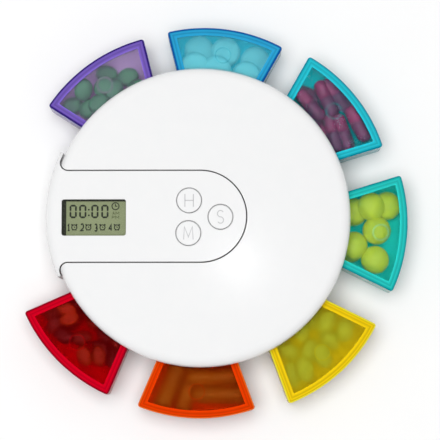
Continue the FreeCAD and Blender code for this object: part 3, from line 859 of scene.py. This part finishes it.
@dataclass
class Display:
    """What shows through the window: segments, icons, and a painted shadow of the window's walls on the panel."""

    panel_top: float = 23.4
    ink_height: float = 0.03
    digit_columns: tuple[float, ...] = (73.2, 82.8, 94.9, 104.9)
    digit_row: float = 211.5
    digit_size: Place = (3.02, 5.6)
    bar: float = 0.78
    colon: tuple[Place, ...] = ((88.85, 209.7), (88.9, 215.4))
    clock: Place = (115.5, 206.2)
    half_day: tuple[tuple[str, Place], ...] = (("AM", (115.6, 213.4)), ("PM", (115.4, 217.4)))
    alarms: tuple[tuple[str, Place, Place], ...] = (
        ("1", (68.5, 227.6), (74.3, 227.4)),
        ("2", (82.2, 227.6), (88.4, 227.4)),
        ("3", (96.1, 227.6), (102.5, 227.4)),
        ("4", (110.4, 227.6), (116.9, 227.4)),
    )
    window: tuple[float, float, float, float] = (-57.2, -8.0, -30.7, 7.0)
    # Widths of the painted shadow that the window's left and top walls cast on the panel.
    painted_shadow_widths: Place = (1.75, 0.6)
    ink: Finish = Finish("display_ink", linear(18, 24, 10), linear(30, 36, 20), 0.4, grain=0.5, depth=0.001)
    faint_ink: Finish = Finish("display_faint_ink", linear(82, 92, 56), linear(92, 100, 62), 0.4, grain=0.5, depth=0.001)
    shadow_paint: Finish = Finish("display_gasket", linear(30, 32, 24), linear(46, 48, 34), 0.9, 0.1, grain=0.2, depth=0.02)

    def lines(self, text: str) -> list[list[Place]]:
        """Gives the middle lines of a small letter or number on a field one unit wide and high.

        Args:
            text: one character.

        Returns:
            One list of points per line.
        """
        bow = arc((0.5, 0.7), 0.42, 150, -45, 10)
        known = {
            "1": [[(0.2, 0.78), (0.58, 1.0), (0.58, 0.0)], [(0.2, 0.0), (0.95, 0.0)]],
            "2": [bow + [(0.02, 0.0), (1.0, 0.0)]],
            "3": [arc((0.45, 0.75), 0.33, 150, -80, 9) + [(0.4, 0.5)], arc((0.45, 0.28), 0.38, 80, -150, 9)],
            "4": [[(0.75, 0.0), (0.75, 1.0), (0.0, 0.3), (1.0, 0.3)]],
            "A": [[(0.0, 0.0), (0.5, 1.0), (1.0, 0.0)], [(0.2, 0.35), (0.8, 0.35)]],
            "P": [[(0.0, 0.0), (0.0, 1.0), (0.75, 1.0), (1.0, 0.8), (0.75, 0.5), (0.0, 0.5)]],
            "M": [[(0.0, 0.0), (0.0, 1.0), (0.5, 0.35), (1.0, 1.0), (1.0, 0.0)]],
        }
        return known[text]

    def character(self, text: str, middle: Place, size: Place, width: float) -> list[Shell]:
        """Draws one character about a middle.

        Args:
            text: the character.
            middle: its middle in millimetres.
            size: its width and height.
            width: width of its lines.

        Returns:
            One shell per line.
        """
        low, high = self.panel_top + 0.01, self.panel_top + 0.01 + self.ink_height
        scaled = [[(middle[0] + (x - 0.5) * size[0], middle[1] + (y - 0.5) * size[1]) for x, y in line]
                  for line in self.lines(text)]
        return [stroke(line, width, low, high) for line in scaled]

    def zero(self, middle: Place) -> list[Shell]:
        """Draws a nought from six segments with pointed ends, set close to each other.

        Args:
            middle: its middle in millimetres.

        Returns:
            The six segments.
        """
        wide, high = self.digit_size[0] - self.bar, self.digit_size[1] - self.bar
        half, gap = 0.5 * self.bar, 0.05
        low = self.panel_top + 0.01

        def segment(start: Place, end: Place) -> Shell:
            """Draws one segment: a bar with both ends cut to a point."""
            a, b = np.array(start), np.array(end)
            run = (b - a) / np.linalg.norm(b - a)
            side = np.array([-run[1], run[0]])
            a, b = a + run * gap, b - run * gap
            outline = [a, a + half * (run + side), b - half * (run - side), b, b - half * (run + side),
                       a + half * (run - side)]
            return plate(np.array(outline), low, low + self.ink_height)

        x, y = middle
        left, right, top, bottom = x - wide / 2, x + wide / 2, y + high / 2, y - high / 2
        ends = [((left, top), (right, top)), ((left, bottom), (right, bottom)), ((left, y), (left, top)),
                ((right, y), (right, top)), ((left, bottom), (left, y)), ((right, bottom), (right, y))]
        return [segment(start, end) for start, end in ends]

    def alarm(self, middle: Place) -> list[Shell]:
        """Draws a small alarm clock: a ring, two bells, two feet and its hands."""
        low, high = self.panel_top + 0.01, self.panel_top + 0.01 + self.ink_height
        x, y = middle
        parts = [hoop(middle, 1.05, 0.42, low, high)]
        for angle, start, end, width in ((48, 1.1, 1.75, 0.62), (132, 1.1, 1.75, 0.62), (-58, 1.1, 1.5, 0.4),
                                         (-122, 1.1, 1.5, 0.4)):
            cosine, sine = math.cos(math.radians(angle)), math.sin(math.radians(angle))
            line = [(x + start * cosine, y + start * sine), (x + end * cosine, y + end * sine)]
            parts.append(stroke(line, width, low, high))
        parts.append(stroke([(x, y + 0.55), (x, y), (x + 0.4, y - 0.1)], 0.26, low, high))
        return parts

    def build(self, shop: Workshop, view: Viewpoint) -> None:
        """Makes the digits, the faint marks and the painted shadow along the window's left and top edges.

        Args:
            shop: makes the objects.
            view: finds the places of the photograph's pixels.
        """
        low, high = self.panel_top + 0.01, self.panel_top + 0.01 + self.ink_height

        def at(place: Place) -> Place:
            """Finds the place on the panel of a pixel."""
            return view.spot(place[0], place[1], self.panel_top)

        inked: list[Shell] = []
        for column in self.digit_columns:
            inked += self.zero(at((column, self.digit_row)))
        for dot in self.colon:
            x, y = at(dot)
            inked.append(plate(np.array(arc((x, y), 0.38, 0, 337.5, 16)), low, high))
        x, y = at(self.clock)
        inked.append(hoop((x, y), 1.45, 0.44, low, high))
        inked.append(stroke([(x - 0.05, y + 0.95), (x, y), (x + 0.8, y)], 0.4, low, high))
        for text, number, clock in self.alarms:
            inked += self.character(text, at(number), (1.2, 2.5), 0.52)
            inked += self.alarm(at(clock))
        shop.piece("display_segments", joined(inked), self.ink, "timer")
        faint: list[Shell] = []
        for word, place in self.half_day:
            x, y = at(place)
            faint += self.character(word[0], (x - 0.85, y), (1.0, 1.1), 0.26)
            faint += self.character(word[1], (x + 0.75, y), (1.3, 1.1), 0.26)
        shop.piece("display_faint_marks", joined(faint), self.faint_ink, "timer")
        # The shadow of the window's left and top walls is painted on as a dark sheet along both edges.
        west, south, east, north = self.window
        wide, tall = self.painted_shadow_widths
        over = 1.6
        shadow_outlines = [
            np.array([(west - over, south - over), (west + wide, south - over), (west + wide, north - tall),
                      (west - over, north - tall)]),
            np.array([(west - over, north - tall), (east + over, north - tall), (east + over, north + over),
                      (west - over, north + over)]),
        ]
        shadow_sheets = [plate(outline, self.panel_top + 0.005, self.panel_top + 0.08) for outline in shadow_outlines]
        shop.piece("display_gasket", joined(shadow_sheets), self.shadow_paint, "timer")


@dataclass
class Letters:
    """The buttons' engraved letters, as thin grey strokes in the caps: a painted shade of their grooves."""

    size: Place = (4.1, 5.3)
    width: float = 0.42
    top: float = 27.085
    sunk: float = 0.15
    groove_shade: Finish = Finish("engraved_letter", (0.55, 0.55, 0.56), (0.50, 0.50, 0.51), 0.5, grain=0.4, depth=0.002)

    def lines(self, text: str) -> list[list[Place]]:
        """Gives the middle lines of a letter on a field from minus a half to a half.

        Args:
            text: H, M or S.

        Returns:
            One list of points per line.
        """
        lower = arc((0.0, -0.25), 0.25, -150, 90, 12)
        upper = arc((0.0, 0.25), 0.25, 270, 30, 12)
        curve = [(2.0 * x * 0.85, y) for x, y in lower + upper[1:]]
        known = {
            "H": [[(-0.5, -0.5), (-0.5, 0.5)], [(0.5, -0.5), (0.5, 0.5)], [(-0.5, 0.0), (0.5, 0.0)]],
            "M": [[(-0.5, -0.5), (-0.42, 0.5), (0.0, -0.3), (0.42, 0.5), (0.5, -0.5)]],
            "S": [curve],
        }
        return known[text]

    def build(self, shop: Workshop) -> None:
        """Makes the painted groove shade of each button's letter.

        Args:
            shop: makes the objects.
        """
        for text, node, body, share in (("H", "button_hour", "hour_button", 0.85),
                                        ("M", "button_minute", "minute_button", 0.95),
                                        ("S", "button_set", "set_button", 0.72)):
            low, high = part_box(node)
            x, y = (low.x + high.x) / 2 / MM, (low.y + high.y) / 2 / MM
            top = high.z / MM
            lines = [[(x + a * self.size[0] * share, y + b * self.size[1]) for a, b in line]
                     for line in self.lines(text)]
            # No groove is cut: grey strokes paint the shade that the engraved grooves hold.
            shells = [stroke(line, self.width, top - self.sunk, top + 0.005) for line in lines]
            shop.piece(f"letter_{node}", joined(shells), self.groove_shade, body)


@dataclass
class Keypad:
    """The rubber pad under the buttons: a web on the circuit board, and a dome under each button."""

    board_top: float = 21.2
    thickness: float = 0.8
    spot_radius: float = 6.4
    base_radius: float = 3.6
    top_radius: float = 2.6
    edge_radius: float = 0.2
    dome_height: float = 2.264
    kept_height: float = 1.70
    node: str = "keypad"
    slot: str = "grey_rubber"
    rubber: Finish = Finish("keypad_rubber", (0.45, 0.46, 0.47), (0.38, 0.39, 0.40), 0.7, 0.1, grain=0.4, depth=0.02,
                            edge=0.2)

    def web(self, places: np.ndarray) -> Shell:
        """Makes the web from its outline, a reach for each direction from the middle of the three buttons.

        The reach is the furthest point of the ray in any of the three discs, or the ray's way out of the
        triangle between their middles where that is longer.

        Args:
            places: X and Y of the three buttons, against the clock.

        Returns:
            The web.
        """
        middle = places.mean(axis=0)
        angles = np.linspace(0, 2 * np.pi, 144, endpoint=False)
        ways = np.column_stack([np.cos(angles), np.sin(angles)])
        offsets = places - middle
        along = ways @ offsets.T
        inside = along ** 2 - (offsets ** 2).sum(axis=1) + self.spot_radius ** 2
        discs = np.where(inside > 0, along + np.sqrt(np.clip(inside, 0, None)), 0.0).max(axis=1)
        edges = np.roll(offsets, -1, axis=0) - offsets
        normals = np.column_stack([edges[:, 1], -edges[:, 0]])
        facing = ways @ normals.T
        exits = np.where(facing > 1e-9, (offsets * normals).sum(axis=1) / np.clip(facing, 1e-9, None), np.inf)
        reach = np.maximum(discs, exits.min(axis=1))
        return plate(middle + ways * reach[:, None], self.board_top, self.board_top + self.thickness)

    def dome(self, x: float, y: float) -> Shell:
        """Makes a dome: a cone whose top edge is a quarter circle, turned round its axis.

        Args:
            x: X of its axis.
            y: Y of its axis.

        Returns:
            The dome.
        """
        up = np.linspace(0, 1, 6)
        bow = np.linspace(0, np.pi / 2, 5)[1:]
        shoulder = self.dome_height - self.edge_radius
        heights = np.concatenate([up * shoulder, shoulder + self.edge_radius * np.sin(bow)])
        radii = np.concatenate([self.base_radius + up * (self.top_radius - self.base_radius),
                                self.top_radius - self.edge_radius * (1 - np.cos(bow))])
        u = np.linspace(0, 2 * np.pi, 48, endpoint=False)[None, :]
        tall = heights[:, None] * np.ones_like(u)
        rings = np.stack([radii[:, None] * np.cos(u), radii[:, None] * np.sin(u), tall], axis=-1)
        return shell_from_rings(rings).moved(x, y, self.board_top + self.thickness)

    def build(self, shop: Workshop) -> None:
        """Makes the web and the domes in place of the solid.

        Args:
            shop: makes the objects.
        """
        places = []
        for button in ("minute", "set", "hour"):
            low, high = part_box(f"button_{button}")
            places.append(((low.x + high.x) / 2 / MM, (low.y + high.y) / 2 / MM))
            x, y = places[-1]
            dome = shop.piece(f"keypad_dome_{button}", self.dome(x, y), self.rubber, "timer")
            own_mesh(dome)
            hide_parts(self.node)
        web = shop.piece("keypad_web", self.web(np.array(places)), self.rubber, "timer")
        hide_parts(self.node)


class Filling(Enum):
    """The shape of what lies in a tray."""

    OVAL = "oval tablets"
    ROUND = "round flat tablets"
    CAPSULE = "two-piece capsules"
    BALL = "round softgels"
    SOFTGEL = "long softgels"
    SHORT = "short tablets"


@dataclass(frozen=True)
class Pill:
    """One kind of pill: its shape, its size and its finish."""

    filling: Filling
    length: float
    width: float
    height: float
    finish: Finish
    count: int
    # A painted shade of depth: it darkens the tone of every pill but those seen near the lid.
    depth_shade: float = 0.0

    def shell(self) -> Shell:
        """Makes one pill about the origin, lying along X.

        Returns:
            The pill's shell.
        """
        if self.filling is Filling.CAPSULE:
            return capsule(self.length, 0.5 * self.width)
        square = {Filling.ROUND: 0.28, Filling.OVAL: 0.45, Filling.SHORT: 0.4}.get(self.filling, 1.0)
        return tablet(self.length, self.width, self.height, square)

    def beads(self) -> tuple[np.ndarray, float]:
        """Describes the pill by equal flattened balls along its length, for stacking.

        Returns:
            The balls' places along X, and half their height.
        """
        reach = 0.5 * (self.length - self.width)
        return np.linspace(-reach, reach, 5), 0.5 * self.height


@dataclass
class Tray:
    """One drawer: its tint, its place and what lies in it."""

    name: str
    plastic: TintedPlastic
    pill: Pill
    deep: tuple[tuple[float, float, float], ...]
    high: tuple[tuple[float, float, float], ...]
    seed: int
    filled_to: float = 52.0
    inner: float = 29.9
    outer: float = 66.4
    half_angle: float = 21.7
    side: float = 2.3
    floor: float = 4.8
    roof: float = 16.0
    tries: int = 400

    def place(self) -> tuple[float, float]:
        """Reads the tray's direction and how far it is pulled out from its joint.

        Returns:
            The direction in radians and the distance in millimetres.
        """
        joint = next(j for j in frame["joints"] if j["child"] == f"{self.name}_tray")
        axis = joint["axis"]
        return math.atan2(axis[1], axis[0]), -joint["range_m"][0] / MM

    def inside(self, x: np.ndarray, y: np.ndarray, room: float) -> np.ndarray:
        """Tells which places are clear of the tray's walls.

        In the tray's own frame the floor lies between two arcs and two straight sides at plus and minus half
        the angle.

        Args:
            x: places along the tray's direction, from the disc's axis before it is pulled out.
            y: places across it.
            room: distance that a place keeps from every wall.

        Returns:
            True where a place is clear.
        """
        reach = np.hypot(x, y)
        half = math.radians(self.half_angle)
        across = x * math.sin(half) - np.abs(y) * math.cos(half)
        return (reach > self.inner + room) & (reach < self.outer - room) & (across > self.side + room)

    def near(self, wish: tuple[float, float, float], view: Viewpoint) -> np.ndarray:
        """Lists places for a pill that the photograph shows, from its spot towards the tray's middle.

        Args:
            wish: column, row and direction in degrees in the photograph.
            view: finds the places of the photograph's pixels.

        Returns:
            Places along and across the tray, and turns, one row each.
        """
        angle, pulled = self.place()
        column, row, degrees = wish
        x, y = view.spot(column, row, self.floor + 1.5 * self.pill.height)
        along = x * math.cos(angle) + y * math.sin(angle) - pulled
        across = y * math.cos(angle) - x * math.sin(angle)
        step = np.linspace(0.0, 0.5, 26)
        middle = 0.5 * (self.inner + self.outer)
        return np.stack([along + step * (middle - along), across * (1 - step),
                         np.full(len(step), math.radians(degrees) - angle)])

    def fill(self, view: Viewpoint) -> Shell:
        """Lays the pills into the tray: those seen deep down, then unseen ones, then those seen near the lid.

        A pill is a row of flattened balls. A seen one takes the first place that is clear of the walls. An
        unseen one tries many places and takes the lowest rest. Over a ball it rests higher by the pill's height
        times the square root of one minus the square of their distance in plan over the pill's width.

        Args:
            view: finds the places of the photograph's pixels.

        Returns:
            All pills as one shell, in the object's frame.
        """
        angle, pulled = self.place()
        rng = np.random.default_rng(self.seed)
        beads, radius = self.pill.beads()
        flat = 0.5 * self.pill.width
        touch = 2 * flat
        laid: list[tuple[float, float, float, float, float]] = []
        taken = np.zeros((0, 3))
        for wish in (*self.deep, *[None] * self.pill.count, *self.high):
            if wish:
                along, across, turn = self.near(wish, view)
            else:
                low, high = (self.inner, -0.4 * self.outer, 0.0), (self.filled_to, 0.4 * self.outer, math.pi)
                along, across, turn = rng.uniform(low, high, (self.tries, 3)).T
            row_x = along[:, None] + beads * np.cos(turn)[:, None]
            row_y = across[:, None] + beads * np.sin(turn)[:, None]
            rest = np.full(len(along), self.floor + radius)
            if len(taken):
                gap = np.hypot(row_x[:, :, None] - taken[:, 0], row_y[:, :, None] - taken[:, 1])
                lift = taken[:, 2] + 2 * radius * np.sqrt(np.clip(1 - (gap / touch) ** 2, 0.0, None))
                rest = np.maximum(rest, np.where(gap < touch, lift, 0.0).max(axis=(1, 2)))
            outside = ~self.inside(row_x, row_y, flat).all(axis=1)
            above = np.maximum(rest - (self.roof - radius), 0.0)
            if wish:
                cost = 1e3 * outside + above + 0.3 * np.arange(len(along))
            else:
                cost = 1e3 * (outside | (above > 0)) + rest + 0.002 * along
            best = int(np.argmin(cost))
            if cost[best] >= 1e3:
                continue
            height = min(rest[best], self.roof - radius)
            # Painted shade of depth: every pill but those seen near the lid moves its tone towards the finish's second
            # colour.
            painted_depth_shade = 0.0 if wish in self.high else self.pill.depth_shade
            laid.append((along[best], across[best], height, turn[best], painted_depth_shade))
            more = np.column_stack([row_x[best], row_y[best], np.full(len(beads), height)])
            taken = np.vstack([taken, more])
        pill = self.pill.shell()
        shells = []
        for x, y, z, turn, painted_depth_shade in laid:
            placed = pill.moved(x, y, z, turn, rng.uniform(-0.06, 0.06))
            placed.tones = np.clip(0.6 * placed.tones + rng.uniform(0.0, 0.4) + painted_depth_shade, 0.0, 1.0)
            shells.append(placed)
        whole = joined(shells)
        return whole.moved(pulled, 0.0, 0.0).moved(0.0, 0.0, 0.0, angle)

    def build(self, shop: Workshop, view: Viewpoint) -> None:
        """Dresses tray and lid and lays the pills.

        Args:
            shop: makes the objects.
            view: finds the places of the photograph's pixels.
        """
        turn, pulled = self.place()
        lid = replace(self.plastic, turn=turn, pulled=pulled)
        # The box keeps the painted bands of light and shade within 1.45 mm of its outline.
        box = replace(lid, name=f"{lid.name}_box", border=1.45, scatter=0.35, haze=0.85, line_width=-1.0,
                      ring=(0.0, 0.0, -1.0, 0.0))
        shop.dress(f"tray_{self.name}", box)
        shop.dress(f"lid_{self.name}", lid)
        shop.piece(f"pills_{self.name}", self.fill(view), self.pill.finish, f"{self.name}_tray", sharp=60.0)


def pill_finish(name: str, colour: Colour, shade: Colour, roughness: float = 0.5) -> Finish:
    """Returns a pill's finish whose colour follows the tone of each pill."""
    return Finish(name, colour, shade, roughness, 0.1, grain=0.5, depth=0.02, toned=True)


TRAYS = [
    Tray("purple", TintedPlastic("tinted_purple", (0.92, 0.92, 0.985), (0.20, 0.12, 0.54), (0.03, 0.01, 0.22),
                                 (0.92, 0.66, 1.0), frost=0.24, mirror=0.12, line_width=0.7, rim=1.5),
         Pill(Filling.OVAL, 9.6, 7.8, 5.6, pill_finish("green_tablets", (0.008, 0.24, 0.07), (0.03, 0.33, 0.10)), 14),
         ((105.4, 70.7, -10), (68.7, 104.6, 20), (127.7, 76.0, 20), (89.3, 108.0, 40)),
         ((82.1, 89.5, 80), (100.9, 83.2, 50), (99.1, 103.8, 38), (114.0, 90.0, 60)), 3),
    Tray("blue", TintedPlastic("tinted_blue", (0.52, 0.97, 0.99), (0.03, 0.40, 0.72), (0.004, 0.10, 0.40),
                               (0.12, 0.80, 1.0), frost=0.22, haze=0.17, line_width=0.75),
         Pill(Filling.ROUND, 12.4, 12.4, 4.6, pill_finish("white_tablets", (0.84, 0.84, 0.84), (0.90, 0.90, 0.90)), 6),
         ((198.9, 49.0, 0), (225.5, 51.5, 0), (255.3, 59.8, 0)), ((191.0, 66.0, 0), (216.8, 71.0, 0)), 5),
    Tray("cyan", TintedPlastic("tinted_cyan", (0.90, 0.97, 0.99), (0.025, 0.60, 0.72), (0.0, 0.30, 0.42),
                               (0.04, 0.97, 1.0), frost=0.26, mirror=0.10, haze=0.02, rim=1.3),
         Pill(Filling.CAPSULE, 17.0, 6.0, 6.0,
              pill_finish("magenta_capsules", (0.42, 0.001, 0.12), (0.14, 0.001, 0.085)), 8),
         ((314.0, 78.0, -20), (337.6, 93.5, -50), (358.7, 123.7, -62)),
         ((326.4, 99.1, -66), (343.2, 132.8, -70), (310.0, 105.0, -50), (333.0, 134.0, -75)), 7),
    Tray("teal", TintedPlastic("tinted_teal", (0.82, 0.98, 0.92), (0.025, 0.62, 0.58), (0.0, 0.34, 0.38),
                               (0.03, 0.99, 0.99), frost=0.20, mirror=0.08, haze=0.02, rim=1.35),
         Pill(Filling.BALL, 11.8, 11.8, 8.4, pill_finish("lime_balls", (0.80, 0.76, 0.0), (0.86, 0.80, 0.002)), 3),
         ((390.2, 202.5, 0),),
         ((371.9, 205.6, 0), (377.5, 229.5, 0), (375.9, 259.0, 0), (354.3, 244.7, 0)), 11),
    Tray("yellow", TintedPlastic("tinted_yellow", (0.985, 0.98, 0.42), (0.98, 0.68, 0.008), (1.0, 0.90, 0.03),
                                 (1.0, 0.74, 0.015), frost=0.34, haze=0.13),
         Pill(Filling.SOFTGEL, 11.0, 7.4, 6.0,
              pill_finish("olive_softgels", (0.28, 0.48, 0.14), (0.38, 0.55, 0.16)), 30),
         (), (), 13, filled_to=59.0),
    Tray("orange", TintedPlastic("tinted_orange", (0.99, 0.60, 0.24), (0.90, 0.055, 0.001), (0.96, 0.15, 0.01),
                                 (1.0, 0.08, 0.002), frost=0.36),
         Pill(Filling.CAPSULE, 22.0, 7.4, 7.4,
              pill_finish("brown_capsules", (0.24, 0.15, 0.02), (0.15, 0.08, 0.01)), 5),
         ((186.0, 391.0, 75), (212.9, 377.4, 0)), ((220.8, 396.4, 0), (169.0, 385.7, 65)), 17),
    Tray("red", TintedPlastic("tinted_red", (0.975, 0.24, 0.28), (0.72, 0.001, 0.018), (0.30, 0.0, 0.012),
                              (0.85, 0.001, 0.006), mirror=0.12, haze=0.03),
         Pill(Filling.SHORT, 9.0, 6.2, 5.0, pill_finish("rust_tablets", (0.36, 0.17, 0.006), (0.012, 0.002, 0.001)), 14, 0.7),
         ((41.8, 309.9, 0), (54.8, 324.4, 60), (64.8, 335.9, -30), (82.0, 338.0, 10)),
         ((59.4, 303.7, -10), (70.1, 319.1, 20), (84.7, 355.8, -65), (99.2, 355.8, -80)), 19),
]


def main() -> None:
    """Builds the studio, dresses the solids and adds every new piece."""
    logging.basicConfig(level=logging.INFO, format="%(message)s")
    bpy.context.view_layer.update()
    shop = Workshop()
    view = Viewpoint()
    view.build()
    Studio().build(shop)
    for node, finish in SOLID_FINISHES.items():
        shop.dress(node, finish)
    Display().build(shop, view)
    Letters().build(shop)
    Keypad().build(shop)
    for tray in TRAYS:
        tray.build(shop, view)


if __name__ == "__main__":
    main()
